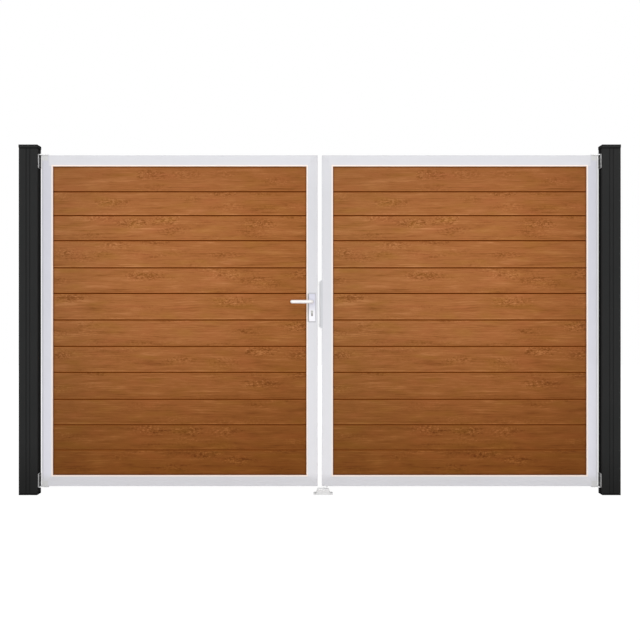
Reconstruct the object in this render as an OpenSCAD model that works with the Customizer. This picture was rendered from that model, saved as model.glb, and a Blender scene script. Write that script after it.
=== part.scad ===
// Double swing gate: two aluminium leaves filled with tongued oak-look boards,
// hung on pivots between two grooved posts. The origin is the centre of the left
// post's foot, +X runs along the gate, -Y is the front and +Z is up.

/* [Gate] */
// Width of each leaf
leaf_w = 1500; // [900:10:1900]
// Height of each leaf
leaf_h = 1800; // [1300:10:2200]
// Thickness of each leaf's frame
leaf_t = 40; // [36:1:50]
// Air between the leaves and the ground
ground_gap = 45; // [45:1:90]
// Gap between the two leaves
meeting_gap = 24; // [22:1:40]
// Gap between a leaf and its post
post_gap = 19; // [19:1:40]

/* [Leaf frame] */
// Width of the frame as it shows from the front
frame_w = 60; // [54:1:90]
// Wall of the hollow frame section
frame_wall = 2; // [1.6:0.1:3]
// How deep the boards sit in the frame's inner channel
channel_depth = 15; // [10:1:18]
// Radius along the frame's outer edges
edge_r = 3; // [1:0.5:4]
// Radius along the frame's inner lips
lip_r = 1.2; // [0.6:0.1:1.8]

/* [Boards] */
// Height that a board covers on average
board_cover = 140; // [100:5:200]
// Thickness of a board
board_t = 20; // [16:1:24]
// Bevel along a board's long edges
board_bevel = 3.5; // [1:0.5:5]
// Thickness of a board's tongue
tongue_t = 7; // [5:1:8]
// Height of a board's tongue
tongue_h = 8; // [6:1:12]
// Wall of a hollow board
board_wall = 3; // [2.5:0.5:4]
// Number of chambers inside a board
board_chambers = 4; // [2:1:5]
// Clearance between boards, and between boards and frame
board_clear = 0.3; // [0.2:0.1:0.6]

/* [Posts] */
// Side of a square post
post_w = 100; // [80:5:150]
// Wall of a post
post_wall = 3; // [2.5:0.5:6]
// How far a post rises over the leaves
post_rise = 55; // [30:5:150]
// Width of a post's grooves
groove_w = 5; // [3:0.5:8]
// Depth of a post's grooves
groove_d = 1.2; // [0.6:0.1:1.5]
// Distance between the two grooves of a face
groove_pitch = 20; // [14:1:40]
// Thickness of a post cap's top
cap_t = 3; // [2:0.5:6]
// Height of a post cap
cap_h = 16; // [10:1:30]
// Wall of a post cap's skirt
cap_wall = 1.2; // [1:0.1:3]

/* [Pivots] */
// Distance from a leaf's outer edge to its pivot
pivot_inset = 20; // [18:1:22]
// Radius of a pivot pin
pin_r = 6; // [5:0.1:7.5]
// Length of a pin below its arm
pin_len = 26; // [18:1:28]
// Height of the plate on the post
hinge_plate_h = 76; // [60:1:110]
// Width of the plate on the post
hinge_plate_w = 56; // [40:1:56]
// Thickness of the plate on the post
hinge_plate_t = 6; // [4:0.5:7]
// Thickness of the pivot arm
arm_t = 5; // [4:0.5:8]
// Radius of the pivot arm's end
arm_r = 15; // [13:0.5:18]
// Width of the block in the leaf's corner
block_w = 34; // [32:1:40]
// Height of the block in the leaf's corner
block_h = 28; // [26:1:40]

/* [Lock] */
// Height of the lever's axis over the ground
lever_z = 1048; // [950:1:1150]
// Distance from the leaf's edge to the lever's axis
backset = 30; // [26:1:32]
// Width of a handle plate
handle_plate_w = 35; // [30:1:40]
// Height of a handle plate
handle_plate_h = 149; // [140:1:180]
// Thickness of a handle plate
handle_plate_t = 8; // [6:0.5:10]
// Height of the collar around the lever's neck
collar_rise = 1.5; // [1:0.1:3]
// Distance from the plate's top to the lever's axis
plate_over_lever = 43; // [30:1:60]
// Distance from the lever's axis to the lock cylinder's plug
cylinder_drop = 54; // [48:1:92]
// Radius of the lever's bar
lever_r = 9.5; // [8:0.5:11]
// Length of the lever from its axis to its tip
lever_len = 117; // [100:1:140]
// Distance from the handle plate to the lever's bar
lever_reach = 32; // [28:1:50]
// Height of the plate in the leaf's edge
forend_h = 240; // [210:5:260]

/* [Keep] */
// Height of the keep on the right leaf
keep_h = 260; // [240:5:300]
// How far the keep stands into the gap between the leaves
keep_reach = 18; // [14:0.5:18]
// How far the keep's lip stands into the gap
lip_reach = 8; // [5:0.5:12]
// How far the keep's lip covers the leaf's front
lip_cover = 4.5; // [3:0.5:10]

/* [Drop bolt] */
// Radius of the drop bolt's rod
rod_r = 5; // [4:0.5:6]
// Distance from the right leaf's edge to the rod
rod_inset = 28; // [27:1:30]
// Height of the raised rod's tip over the ground
rod_tip_z = 36; // [34:1:44]
// How far the rod drops
rod_travel = 30; // [20:1:32]
// Length of the rod up to its bend
rod_len = 390; // [380:5:800]
// Length of the drop bolt's back plate
rod_plate_h = 280; // [250:5:320]

/* [Ground stop] */
// Length of the ground stop along the gate
stop_base = 105; // [100:1:160]
// Length of its raised top
stop_top = 62; // [60:1:90]
// Height of the ground stop
stop_h = 29; // [20:1:29]
// Depth of the ground stop
stop_depth = 90; // [88:1:120]
// Distance from the gate's centre to the stop's centre
stop_offset = 18; // [16:1:20]
// Thickness of the stop's feet
stop_foot_t = 5; // [4:0.5:8]
// Clearance of the drop bolt in the stop's bore
stop_bore_clear = 2.2; // [1:0.1:2.5]

/* [Hidden] */

anthracite = "#2e2f30";
silver = "#d9dade";
oak = "#9a6034";
satin = "#e4e5e8";
nylon = "#3a3a3c";

$fn = 64;
eps = 0.01;                      // a cutter's overrun past the face it opens
over = 1;                        // the same where there is room for more
seat_clear = 0.3;                // running gap between a moving and a fixed face
fit_clear = 0.08;                // radial play of a pin in its bush

// The gate
leaf_x = post_w / 2 + post_gap;  // the left leaf's outer edge
gate_mid_x = leaf_x + leaf_w + meeting_gap / 2;
leaf_top_z = ground_gap + leaf_h;

// Posts
post_r = 1.5;
post_h = leaf_top_z + post_rise;
cap_bevel = 1;
cap_w = post_w + 2 * seat_clear + 2 * cap_wall;

// Leaf frames and boards
channel_w = board_t + 2 * board_clear;
channel_floor = frame_w - channel_depth;
chamber_w = leaf_t - 2 * frame_wall;
chamber_h = channel_floor - 2 * frame_wall;
opening_h = leaf_h - 2 * frame_w;
board_n = ceil(opening_h / board_cover - eps);
joint_shift = [-4, -7, -8, -1, 0.5, 4, 8.5, 8, 16, 12.5, 2.5];  // off even spacing, lowest first
board_len = leaf_w - 2 * channel_floor - 2 * board_clear;
board_run_in = channel_depth - 2 * board_clear;

// Pivots
pivot_x = post_gap + pivot_inset;    // from the post's face
bush_r = pin_r + 3;
bush_flange_r = pin_r + 6;
bush_flange_t = 2;
arm_gap = bush_flange_t + seat_clear;
arm_top = arm_gap + arm_t;
pin_head_t = 2;
pin_head_r = pin_r + 3;
hinge_corner_r = 5;
hinge_screw_r = 3.3;
hinge_screw_head_r = 5.7;
hinge_screw_y = 0.28 * hinge_plate_w;
hinge_screw_near = 22;           // from the arm's outer face to the nearer screws
hinge_screw_far = hinge_plate_h - 14;
block_tongue = 20;
block_inset = frame_wall + seat_clear;
block_tongue_w = chamber_w - 2 * seat_clear;

// Lock, in the left leaf's own frame: x from its hinge edge, z from its bottom edge
axis_x = leaf_w - backset;
axis_z = lever_z - ground_gap;
plug_z = axis_z - cylinder_drop;
plate_face_y = leaf_t / 2 + handle_plate_t;
plate_r = 5;
plate_bevel = 1.5;
boss_r = 7;                      // the lever's journal in its handle plate
collar_outer_r = lever_r + 3;
bend_r = 14;
neck_y = plate_face_y + collar_rise + seat_clear;
bar_y = plate_face_y + lever_reach;
spindle_w = 8;
spindle_half = bar_y - lever_r - 4;
plug_r = 8.5;
fin_w = 10;
fin_drop = 20;                   // from the plug's centre to the centre of the fin's round foot
cylinder_stand = 1.5;            // how far the cylinder stands out of a handle plate
ring_r = 7.2;
ring_w = 0.6;
ring_d = 0.6;
key_slot = [2.6, 3, 9.2];
forend_t = 3;
forend_w = 22;
forend_r = 2;
forend_screw_in = 9;
forend_screw_r = 2.2;
forend_screw_head_r = 4.2;
case_t = 16;
case_h = 210;
case_low_z = axis_z - 119;
case_x = leaf_w - channel_floor + block_inset;
forend_mid_z = case_low_z + case_h / 2;
bolt_len = 26;
latch = [bolt_len, 12, 24];
latch_z = axis_z + 22;
dead = [bolt_len, 10, 28];
dead_z = plug_z + 26;

// Keep, in the right leaf's own frame
keep_web_t = 2;
keep_low_z = forend_mid_z - keep_h / 2;
keep_front_y = -leaf_t / 4;
keep_rear_y = leaf_t / 4 + 4;
keep_inset = 4;
pocket_floor = 4;
pocket_clear = 1.5;

// Drop bolt, in the right leaf's own frame
rod_x = leaf_w - rod_inset;
rod_plate_t = 3;
rod_plate_w = 28;
rod_plate_z = 14;
guide_w = 22;
guide_h = 24;
guide_d = 18;
guide_in = 6;                    // from the plate's end to its guide
rod_y = leaf_t / 2 + rod_plate_t + guide_d / 2;
rod_bend_r = 12;
rod_tip_h = 3;
rod_tip_r = rod_r - 1.5;
rod_low_z = rod_tip_z - ground_gap;
rod_top_z = rod_low_z + rod_len;
grip_len = 55;
collar_r = 8;
collar_h = 8;

// Ground stop, from its own centre
stop_x = gate_mid_x + stop_offset;
stop_bore_x = gate_mid_x - leaf_x - rod_x - stop_offset;
stop_shell = 4;
stop_slope = 7;
stop_chamfer = 2;
stop_hole_r = 3.5;
stop_hole_x = stop_base / 2 - 8;
stop_hole_y = stop_depth / 2 - 15;
stop_pocket_low_x = -stop_top / 2 + stop_shell;
stop_pocket_high_x = stop_bore_x - rod_r - 2 * stop_shell;

// ---- shared outlines --------------------------------------------------------

module rounded_rect(w, h, r) {
    square([w - 2 * r, h], center = true);
    square([w, h - 2 * r], center = true);
    for (sx = [-1, 1], sy = [-1, 1])
        translate([sx * (w / 2 - r), sy * (h / 2 - r)]) circle(r);
}

// A plate of thickness t standing on the XY plane, with its upper edges bevelled
module bevelled_plate(w, h, t, r, bevel) {
    intersection() {
        linear_extrude(t) rounded_rect(w, h, r);
        rotate([90, 0, 0]) linear_extrude(h, center = true) bevel_section(w, t, bevel);
        rotate([90, 0, 90]) linear_extrude(w, center = true) bevel_section(h, t, bevel);
    }
}

module bevel_section(w, t, bevel) {
    polygon([[-w / 2, 0], [w / 2, 0], [w / 2, t - bevel], [w / 2 - bevel, t],
             [-w / 2 + bevel, t], [-w / 2, t - bevel]]);
}

// ---- placing ----------------------------------------------------------------

module mirror_gate() {
    translate([2 * gate_mid_x, 0, 0]) mirror([1, 0, 0]) children();
}

// A leaf's own frame: x from its hinge edge, z from its bottom edge
module on_left_leaf() {
    translate([leaf_x, 0, ground_gap]) children();
}

module on_right_leaf() {
    mirror_gate() on_left_leaf() children();
}

module upside_down(height) {
    translate([0, 0, height]) mirror([0, 0, 1]) children();
}

// ---- posts ------------------------------------------------------------------

module groove_outline() {
    polygon([[-groove_w / 2, eps], [groove_w / 2, eps], [groove_w / 2 - groove_d, -groove_d],
             [-groove_w / 2 + groove_d, -groove_d]]);
}

module post_tube() {
    linear_extrude(post_h - cap_t) difference() {
        rounded_rect(post_w, post_w, post_r);
        square(post_w - 2 * post_wall, center = true);
        for (turn = [0:90:270], s = [-1, 1])
            rotate(turn) translate([s * groove_pitch / 2, post_w / 2]) groove_outline();
    }
}

module post_lid() {
    translate([0, 0, post_h - cap_h]) difference() {
        bevelled_plate(cap_w, cap_w, cap_h, post_r + cap_wall, cap_bevel);
        translate([0, 0, -over]) linear_extrude(cap_h - cap_t + over)
            rounded_rect(cap_w - 2 * cap_wall, cap_w - 2 * cap_wall, post_r);
    }
}

module left_post() {
    color(anthracite) post_tube();
}

module right_post() {
    color(anthracite) mirror_gate() post_tube();
}

module left_post_cap() {
    color(anthracite) post_lid();
}

module right_post_cap() {
    color(anthracite) mirror_gate() post_lid();
}

// ---- pivots -----------------------------------------------------------------

// A top bracket: x from the post's face, z from the leaf's top edge
module hinge_bracket() {
    difference() {
        union() {
            translate([0, 0, arm_top - hinge_plate_h / 2]) rotate([90, 0, 90])
                linear_extrude(hinge_plate_t)
                    rounded_rect(hinge_plate_w, hinge_plate_h, hinge_corner_r);
            translate([0, 0, arm_gap]) linear_extrude(arm_t) hinge_arm_outline();
            translate([pivot_x, 0, arm_gap - pin_len]) cylinder(h = pin_len + eps, r = pin_r);
            translate([pivot_x, 0, arm_top])
                cylinder(h = pin_head_t, r1 = pin_head_r, r2 = pin_head_r - pin_head_t / 2);
        }
        for (drop = [hinge_screw_near, hinge_screw_far], s = [-1, 1])
            translate([0, s * hinge_screw_y, arm_top - drop]) rotate([0, 90, 0]) hinge_screw_hole();
    }
}

module hinge_arm_outline() {
    root_w = hinge_plate_w / 2 - hinge_corner_r;
    polygon([[0, -root_w], [hinge_plate_t, -root_w], [pivot_x - arm_r, -arm_r], [pivot_x, -arm_r],
             [pivot_x, arm_r], [pivot_x - arm_r, arm_r], [hinge_plate_t, root_w], [0, root_w]]);
    translate([pivot_x, 0]) circle(arm_r);
}

module hinge_screw_hole() {
    sink = hinge_screw_head_r - hinge_screw_r;
    translate([0, 0, -eps]) cylinder(h = hinge_plate_t + over, r = hinge_screw_r);
    translate([0, 0, hinge_plate_t - sink])
        cylinder(h = sink + eps, r1 = hinge_screw_r, r2 = hinge_screw_head_r);
}

module top_bracket() {
    translate([post_w / 2, 0, leaf_top_z]) hinge_bracket();
}

module bottom_bracket() {
    translate([post_w / 2, 0, ground_gap]) mirror([0, 0, 1]) hinge_bracket();
}

module left_top_hinge() {
    color(satin) top_bracket();
}

module left_bottom_hinge() {
    color(satin) bottom_bracket();
}

module right_top_hinge() {
    color(satin) mirror_gate() top_bracket();
}

module right_bottom_hinge() {
    color(satin) mirror_gate() bottom_bracket();
}

// The bottom and the top corner at a leaf's hinge edge
module at_pivot_corners() {
    children();
    upside_down(leaf_h) children();
}

module pivot_block() {
    difference() {
        union() {
            translate([0, -leaf_t / 2, 0]) cube([block_w, leaf_t, block_h]);
            translate([block_w, -block_tongue_w / 2, block_inset])
                cube([block_tongue, block_tongue_w, block_h - 2 * block_inset]);
            translate([block_inset, -block_tongue_w / 2, block_h])
                cube([block_w - 2 * block_inset, block_tongue_w, block_tongue]);
        }
        translate([pivot_inset, 0, -eps])
            cylinder(h = block_h + block_tongue + over, r = bush_r + fit_clear);
    }
}

module pivot_bush() {
    translate([pivot_inset, 0, 0]) difference() {
        union() {
            translate([0, 0, -bush_flange_t]) cylinder(h = bush_flange_t, r = bush_flange_r);
            cylinder(h = block_h, r = bush_r);
        }
        translate([0, 0, -bush_flange_t - eps])
            cylinder(h = bush_flange_t + block_h + over, r = pin_r + fit_clear);
    }
}

module left_pivot_blocks() {
    color(satin) on_left_leaf() at_pivot_corners() pivot_block();
}

module right_pivot_blocks() {
    color(satin) on_right_leaf() at_pivot_corners() pivot_block();
}

module left_pivot_bushes() {
    color(nylon) on_left_leaf() at_pivot_corners() pivot_bush();
}

module right_pivot_bushes() {
    color(nylon) on_right_leaf() at_pivot_corners() pivot_bush();
}

// ---- leaf frames ------------------------------------------------------------

// The hollow section of a frame member: across the leaf in x, from the outer edge in y
module frame_section() {
    lip_inner = channel_w / 2 + frame_wall;
    lip_room = leaf_t / 2 - frame_wall - lip_inner;
    difference() {
        union() {
            translate([-leaf_t / 2, edge_r]) square([leaf_t, frame_w - edge_r - lip_r]);
            translate([-leaf_t / 2 + edge_r, 0]) square([leaf_t - 2 * edge_r, frame_w / 2]);
            translate([-leaf_t / 2 + lip_r, frame_w / 2]) square([leaf_t - 2 * lip_r, frame_w / 2]);
            for (s = [-1, 1]) {
                translate([s * (leaf_t / 2 - edge_r), edge_r]) circle(edge_r);
                translate([s * (leaf_t / 2 - lip_r), frame_w - lip_r]) circle(lip_r);
            }
        }
        translate([-chamber_w / 2, frame_wall]) square([chamber_w, chamber_h]);
        translate([-channel_w / 2, channel_floor]) square([channel_w, channel_depth + eps]);
        for (s = [0, 1])
            mirror([s, 0]) translate([lip_inner, channel_floor])
                square([lip_room, channel_depth - frame_wall]);
    }
}

// A mitred member along +X, with its outer edge on z = 0
module frame_member(length) {
    intersection() {
        rotate([90, 0, 90]) linear_extrude(length) frame_section();
        rotate([90, 0, 0]) linear_extrude(2 * leaf_t, center = true)
            polygon([[0, 0], [length, 0], [length - frame_w, frame_w], [frame_w, frame_w]]);
    }
}

// Makes room for a pivot block in the frame's outer corner
module corner_cut() {
    translate([-over, -leaf_t, -over]) cube([block_w + over, 2 * leaf_t, block_h + over]);
}

module bottom_rail() {
    difference() {
        frame_member(leaf_w);
        corner_cut();
    }
}

module top_rail() {
    upside_down(leaf_h) bottom_rail();
}

module hinge_stile() {
    difference() {
        mirror([1, 0, -1]) frame_member(leaf_h);
        at_pivot_corners() corner_cut();
    }
}

module lock_stile() {
    translate([leaf_w, 0, 0]) mirror([1, 0, 0]) mirror([1, 0, -1]) frame_member(leaf_h);
}

module left_top_rail() {
    color(silver) on_left_leaf() top_rail();
}

module right_top_rail() {
    color(silver) on_right_leaf() top_rail();
}

module left_bottom_rail() {
    color(silver) on_left_leaf() bottom_rail();
}

module right_bottom_rail() {
    color(silver) on_right_leaf() bottom_rail();
}

module left_hinge_stile() {
    color(silver) on_left_leaf() hinge_stile();
}

module right_hinge_stile() {
    color(silver) on_right_leaf() hinge_stile();
}

module left_lock_stile() {
    slot_w = forend_w + 2 * board_clear;
    slot_h = forend_h + 2 * board_clear;
    color(silver) on_left_leaf() difference() {
        lock_stile();
        translate([leaf_w - forend_t - eps, -slot_w / 2, forend_mid_z - slot_h / 2])
            cube([forend_t + over, slot_w, slot_h]);
        lever_bore(leaf_t + over, boss_r + seat_clear);
        cylinder_cut(leaf_t + over);
    }
}

module right_lock_stile() {
    color(silver) on_right_leaf() lock_stile();
}

// ---- boards -----------------------------------------------------------------

// One board's outline from its lower visible edge: thickness in x, height in y.
// foot and head say how far it runs on into the frame in place of its joint.
module board_outline(cover, foot, head) {
    body_h = cover - board_clear;
    half_t = board_t / 2;
    difference() {
        union() {
            polygon([[-half_t, board_bevel], [-half_t + board_bevel, 0],
                     [half_t - board_bevel, 0], [half_t, board_bevel],
                     [half_t, body_h - board_bevel], [half_t - board_bevel, body_h],
                     [-half_t + board_bevel, body_h], [-half_t, body_h - board_bevel]]);
            if (foot > 0)
                translate([-half_t, -foot]) square([board_t, foot + board_bevel + eps]);
            if (head > 0)
                translate([-half_t, body_h - board_bevel - eps]) square([board_t, head + board_bevel]);
            else
                translate([-tongue_t / 2, body_h - eps]) square([tongue_t, tongue_h + eps]);
        }
        if (foot == 0)
            translate([-tongue_t / 2 - board_clear, -eps])
                square([tongue_t + 2 * board_clear, tongue_h + 2 * board_clear]);
        board_chambers(cover);
    }
}

module board_chambers(cover) {
    low = tongue_h + 2 * board_clear + board_wall;
    high = cover - board_clear - board_bevel - board_wall;
    step = (high - low + board_wall) / board_chambers;
    if (step > 2 * board_wall)
        for (i = [0:board_chambers - 1])
            translate([-board_t / 2 + board_wall, low + i * step])
                square([board_t - 2 * board_wall, step - board_wall]);
}

// Where board i starts over the opening's foot
function board_low(i) = i * board_cover + (i > 0 && i <= len(joint_shift) ? joint_shift[i - 1] : 0);

module boards() {
    for (i = [0:board_n - 1]) {
        last = i == board_n - 1;
        cover = (last ? opening_h + board_clear : board_low(i + 1)) - board_low(i);
        translate([channel_floor + board_clear, 0, frame_w + board_low(i)])
            rotate([90, 0, 90]) linear_extrude(board_len)
                board_outline(cover, i == 0 ? board_run_in : 0, last ? board_run_in : 0);
    }
}

module left_boards() {
    color(oak) on_left_leaf() boards();
}

module right_boards() {
    color(oak) on_right_leaf() boards();
}

// ---- lock -------------------------------------------------------------------

// The euro profile: a round plug over a narrow fin
module cylinder_outline(grow) {
    circle(plug_r + grow);
    translate([-fin_w / 2 - grow, -fin_drop - grow]) square([fin_w + 2 * grow, fin_drop + grow]);
    translate([0, -fin_drop]) intersection() {
        circle(fin_w / 2 + grow);
        translate([-fin_w, -fin_w]) square([2 * fin_w, fin_w]);
    }
}

module cylinder_cut(length) {
    translate([axis_x, 0, plug_z]) rotate([90, 0, 0])
        linear_extrude(length, center = true) cylinder_outline(seat_clear);
}

module lever_bore(length, r) {
    translate([axis_x, 0, axis_z]) rotate([90, 0, 0]) cylinder(h = length, r = r, center = true);
}

// A block of the given size, flush with the leaf's edge and centred on height z
module bolt_block(size, z, grow) {
    translate([leaf_w - size.x - grow, -size.y / 2 - grow, z - size.z / 2 - grow])
        cube([size.x + (grow > 0 ? grow + over : 0), size.y + 2 * grow, size.z + 2 * grow]);
}

module lock_cylinder() {
    half = plate_face_y + cylinder_stand;
    color(satin) on_left_leaf() difference() {
        translate([axis_x, 0, plug_z]) rotate([90, 0, 0])
            linear_extrude(2 * half, center = true) cylinder_outline(0);
        for (s = [-1, 1])
            translate([axis_x, s * half, plug_z]) {
                rotate([90, 0, 0]) difference() {
                    cylinder(h = 2 * ring_d, r = ring_r, center = true);
                    cylinder(h = 2 * ring_d + over, r = ring_r - ring_w, center = true);
                }
                cube([key_slot.x, 2 * key_slot.y, key_slot.z], center = true);
            }
    }
}

module lock_case() {
    color(satin) on_left_leaf() difference() {
        translate([case_x, -case_t / 2, case_low_z]) cube([leaf_w - forend_t - case_x, case_t, case_h]);
        lever_bore(case_t + over, 0.8 * spindle_w);
        cylinder_cut(case_t + over);
        bolt_block(latch, latch_z, seat_clear);
        bolt_block(dead, dead_z, seat_clear);
    }
}

module latch_bolt() {
    color(satin) on_left_leaf() bolt_block(latch, latch_z, 0);
}

module dead_bolt() {
    color(satin) on_left_leaf() bolt_block(dead, dead_z, 0);
}

module lock_forend() {
    sink = forend_screw_head_r - forend_screw_r;
    color(satin) on_left_leaf() difference() {
        translate([leaf_w, 0, forend_mid_z]) rotate([0, -90, 0])
            linear_extrude(forend_t) rounded_rect(forend_h, forend_w, forend_r);
        bolt_block(latch, latch_z, seat_clear);
        bolt_block(dead, dead_z, seat_clear);
        for (s = [-1, 1])
            translate([leaf_w, 0, forend_mid_z + s * (forend_h / 2 - forend_screw_in)])
                rotate([0, -90, 0]) {
                    cylinder(h = forend_t + eps, r = forend_screw_r);
                    translate([0, 0, -eps])
                        cylinder(h = sink, r1 = forend_screw_head_r, r2 = forend_screw_r);
                }
    }
}

// A handle plate on the leaf's front, bored for the lever and the lock cylinder
module handle_plate() {
    difference() {
        union() {
            translate([axis_x, -leaf_t / 2, axis_z + plate_over_lever - handle_plate_h / 2])
                rotate([90, 0, 0])
                    bevelled_plate(handle_plate_w, handle_plate_h, handle_plate_t, plate_r, plate_bevel);
            translate([axis_x, -plate_face_y + eps, axis_z]) rotate([90, 0, 0])
                cylinder(h = collar_rise + eps, r1 = collar_outer_r, r2 = collar_outer_r - collar_rise / 2);
        }
        lever_bore(2 * neck_y, boss_r + seat_clear);
        cylinder_cut(2 * plate_face_y + over);
    }
}

module front_handle_plate() {
    color(satin) on_left_leaf() handle_plate();
}

module rear_handle_plate() {
    color(satin) on_left_leaf() mirror([0, 1, 0]) handle_plate();
}

// The front lever: a round bar bent square to its neck, pointing to the hinge side
module lever() {
    translate([axis_x, 0, axis_z]) difference() {
        union() {
            rotate([90, 0, 0]) translate([0, 0, leaf_t / 2])
                cylinder(h = neck_y - leaf_t / 2 + eps, r = boss_r);
            rotate([90, 0, 0]) translate([0, 0, neck_y])
                cylinder(h = bar_y - bend_r - neck_y, r = lever_r);
            translate([-bend_r, -bar_y + bend_r, 0]) rotate([0, 0, -90])
                rotate_extrude(angle = 90) translate([bend_r, 0]) circle(lever_r);
            translate([-bend_r, -bar_y, 0]) rotate([0, -90, 0])
                cylinder(h = lever_len - bend_r - lever_r, r = lever_r);
            translate([-(lever_len - lever_r), -bar_y, 0]) sphere(lever_r);
        }
        spindle_bar(spindle_half + over, seat_clear / 2);
    }
}

// A square bar along Y, centred on the lever's axis
module spindle_bar(half, grow) {
    cube([spindle_w + 2 * grow, 2 * half, spindle_w + 2 * grow], center = true);
}

module front_lever() {
    color(satin) on_left_leaf() lever();
}

module rear_lever() {
    color(satin) on_left_leaf() mirror([0, 1, 0]) lever();
}

module lever_spindle() {
    color(satin) on_left_leaf() translate([axis_x, 0, axis_z]) spindle_bar(spindle_half, 0);
}

// ---- keep -------------------------------------------------------------------

// The bent plate: a web on the leaf's edge and a lip over its front
module keep_plate() {
    front_y = -leaf_t / 2 - keep_web_t;
    color(satin) on_right_leaf() translate([leaf_w, 0, keep_low_z]) linear_extrude(keep_h) {
        translate([0, front_y]) square([keep_web_t, keep_rear_y - front_y]);
        translate([-lip_cover, front_y]) square([lip_cover + lip_reach, keep_web_t]);
    }
}

module keep_body() {
    color(satin) on_right_leaf() difference() {
        translate([leaf_w + keep_web_t, keep_front_y, keep_low_z + keep_inset])
            cube([keep_reach - keep_web_t, keep_rear_y - keep_front_y, keep_h - 2 * keep_inset]);
        keep_pocket(latch, latch_z);
        keep_pocket(dead, dead_z);
    }
}

module keep_pocket(size, z) {
    translate([leaf_w + pocket_floor + keep_reach / 2, 0, z])
        cube([keep_reach, size.y + 2 * pocket_clear, size.z + 2 * pocket_clear], center = true);
}

// ---- drop bolt --------------------------------------------------------------

module guide_outline() {
    translate([-guide_w / 2, -eps]) square([guide_w, guide_d / 2 + eps]);
    intersection() {
        translate([0, guide_d / 2]) scale([guide_w / guide_d, 1]) circle(guide_d / 2);
        translate([-guide_w, 0]) square([2 * guide_w, guide_d]);
    }
}

module drop_bolt_guides() {
    color(satin) on_right_leaf() difference() {
        union() {
            translate([rod_x, leaf_t / 2 + rod_plate_t, rod_plate_z + rod_plate_h / 2])
                rotate([90, 0, 0]) linear_extrude(rod_plate_t)
                    rounded_rect(rod_plate_w, rod_plate_h, plate_r);
            for (z = [guide_in, rod_plate_h - guide_h - guide_in])
                translate([rod_x, leaf_t / 2 + rod_plate_t, rod_plate_z + z])
                    linear_extrude(guide_h) guide_outline();
        }
        translate([rod_x, rod_y, 0]) cylinder(h = leaf_h / 2, r = rod_r + fit_clear);
    }
}

module drop_bolt_rod() {
    color(satin) on_right_leaf() translate([rod_x, rod_y, 0]) {
        translate([0, 0, rod_low_z]) cylinder(h = rod_tip_h, r1 = rod_tip_r, r2 = rod_r);
        translate([0, 0, rod_low_z + rod_tip_h])
            cylinder(h = rod_len - rod_tip_h - rod_bend_r, r = rod_r);
        translate([0, rod_bend_r, rod_top_z - rod_bend_r]) rotate([90, 0, 90]) rotate([0, 0, 90])
            rotate_extrude(angle = 90) translate([rod_bend_r, 0]) circle(rod_r);
        translate([0, rod_bend_r, rod_top_z]) rotate([-90, 0, 0])
            cylinder(h = grip_len - rod_bend_r - rod_r, r = rod_r);
        translate([0, grip_len - rod_r, rod_top_z]) sphere(rod_r);
    }
}

module drop_bolt_collar() {
    color(satin) on_right_leaf() translate([rod_x, rod_y, rod_plate_z + rod_plate_h / 2]) difference() {
        cylinder(h = collar_h, r = collar_r);
        translate([0, 0, -over]) cylinder(h = collar_h + 2 * over, r = rod_r + fit_clear / 2);
    }
}

// ---- ground stop ------------------------------------------------------------

module stop_outline() {
    half = stop_top / 2;
    polygon([[-stop_base / 2, 0], [stop_base / 2, 0], [stop_base / 2, stop_foot_t],
             [half + stop_slope, stop_foot_t], [half, stop_h - stop_chamfer],
             [half - stop_chamfer, stop_h], [-half + stop_chamfer, stop_h],
             [-half, stop_h - stop_chamfer], [-half - stop_slope, stop_foot_t],
             [-stop_base / 2, stop_foot_t]]);
}

// A cast stop on the ground, bored for the drop bolt and hollow underneath
module ground_stop() {
    color(satin) translate([stop_x, 0, 0]) difference() {
        rotate([90, 0, 0]) linear_extrude(stop_depth, center = true) stop_outline();
        translate([stop_pocket_low_x, -stop_depth / 2 + stop_shell, -over])
            cube([stop_pocket_high_x - stop_pocket_low_x, stop_depth - 2 * stop_shell,
                  stop_h - stop_shell + over]);
        translate([stop_bore_x, rod_y, -over])
            cylinder(h = stop_h + 2 * over, r = rod_r + stop_bore_clear);
        for (sx = [-1, 1], sy = [-1, 1])
            translate([sx * stop_hole_x, sy * stop_hole_y, -over])
                cylinder(h = stop_foot_t + 2 * over, r = stop_hole_r);
    }
}

// ---- nodes ------------------------------------------------------------------

left_post();
right_post();
left_post_cap();
right_post_cap();
left_top_hinge();
left_bottom_hinge();
right_top_hinge();
right_bottom_hinge();
ground_stop();
left_top_rail();
left_bottom_rail();
left_hinge_stile();
left_lock_stile();
left_boards();
left_pivot_blocks();
left_pivot_bushes();
right_top_rail();
right_bottom_rail();
right_hinge_stile();
right_lock_stile();
right_boards();
right_pivot_blocks();
right_pivot_bushes();
lock_case();
lock_forend();
latch_bolt();
dead_bolt();
lock_cylinder();
front_handle_plate();
rear_handle_plate();
front_lever();
rear_lever();
lever_spindle();
keep_plate();
keep_body();
drop_bolt_guides();
drop_bolt_rod();
drop_bolt_collar();
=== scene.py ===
"""Looks of the double gate: oak boards, silver frames, coated posts and the metal fittings."""
import math

import bmesh
import bpy
from mathutils import Matrix, Vector


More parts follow.
